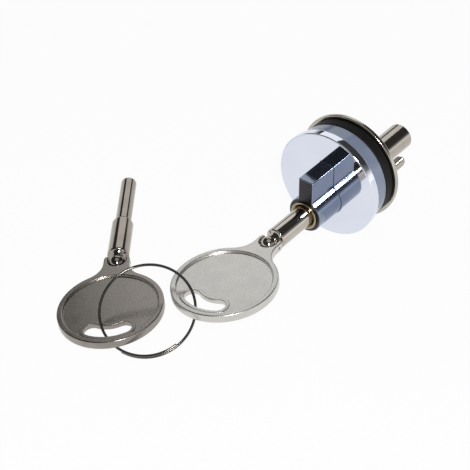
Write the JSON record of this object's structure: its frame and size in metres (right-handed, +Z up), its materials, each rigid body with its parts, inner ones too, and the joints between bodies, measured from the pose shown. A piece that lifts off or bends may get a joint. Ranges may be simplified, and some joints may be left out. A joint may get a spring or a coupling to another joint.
{
  "type": "glass cabinet door lock",
  "caption": "Clamp-on lock for a glass cabinet door: chromed rosette, pin cylinder, sliding round bolt behind, and folding keys joined by a split ring",
  "frame": {"origin": "on the lock's axis, where the glass meets the clear washer", "axes": "+Y along the lock's axis to the rear, towards the bolt's end; +Z up with the pin housing above the plug; +X to the right as seen from the key's side"},
  "size_m": [0.0692, 0.111, 0.0303],
  "materials": {
    "bright_chrome": "mirror polished",
    "dark_chrome": "polished",
    "nickel": "polished nickel plate",
    "plated_brass": "polished",
    "clear_plastic": "clear, faintly blue",
    "black_rubber": "matt",
    "pin_brass": "plain",
    "steel": "polished wire and pin stock",
    "satin_alloy": "satin, nickel coloured"
  },
  "bodies": {
    "housing": {"rosette": "bright_chrome", "clear_washer": "clear_plastic", "rubber_ring": "black_rubber", "rear_plate": "nickel", "clamp_studs": "nickel", "clamp_nuts": "steel", "cylinder_body": "dark_chrome", "chamber_cover": "nickel", "driver_pins": "pin_brass", "pin_springs": "steel", "plug_retainer": "steel", "bolt_guide_pin": "steel"},
    "turning_plug": {"plug": "plated_brass", "key_pins": "pin_brass", "drive_pin": "steel"},
    "bolt": {"bolt_sleeve": "nickel", "bolt_rod": "nickel"},
    "first_shaft": {"key1_shaft": "nickel"},
    "first_bow": {"key1_bow": "satin_alloy", "key1_fold_pin": "steel"},
    "ring": {"split_ring": "steel"},
    "second_bow": {"key2_bow": "satin_alloy", "key2_fold_pin": "steel"},
    "second_shaft": {"key2_shaft": "nickel"}
  },
  "joints": [
    {"name": "plug_turn", "type": "hinge", "parent": "housing", "child": "turning_plug", "pos_m": [0, -0.012, -0.0042], "axis": [0, 1, 0], "range_deg": [0, 180]},
    {"name": "bolt_throw", "type": "slide", "parent": "housing", "child": "bolt", "axis": [0, 1, 0], "range_m": [-0.006, 0]},
    {"name": "key_withdraw", "type": "slide", "parent": "turning_plug", "child": "first_shaft", "axis": [0, -1, 0], "range_m": [0, 0.022]},
    {"name": "key1_fold", "type": "hinge", "parent": "first_shaft", "child": "first_bow", "pos_m": [0, -0.0319, -0.0042], "axis": [0.9925, 0, 0.1219], "range_deg": [-93, 87]},
    {"name": "ring_swing", "type": "hinge", "parent": "first_bow", "child": "ring", "pos_m": [-0.00256, -0.05863, -0.00593], "axis": [-0.6721, 0.569, 0.4739], "range_deg": [-12, 12]},
    {"name": "key2_swing", "type": "hinge", "parent": "ring", "child": "second_bow", "pos_m": [-0.01749, -0.07635, -0.01188], "axis": [0.822, -0.391, -0.4141], "range_deg": [-15, 15]},
    {"name": "key2_fold", "type": "hinge", "parent": "second_bow", "child": "second_shaft", "pos_m": [-0.03189, -0.05431, -0.01188], "axis": [0.8016, 0.5815, 0.1392], "range_deg": [-88.5, 91.5]}
  ],
  "couplings": [
    {"joint": "bolt_throw", "follows": "plug_turn", "m_per_rad": -0.0019099}
  ]
}
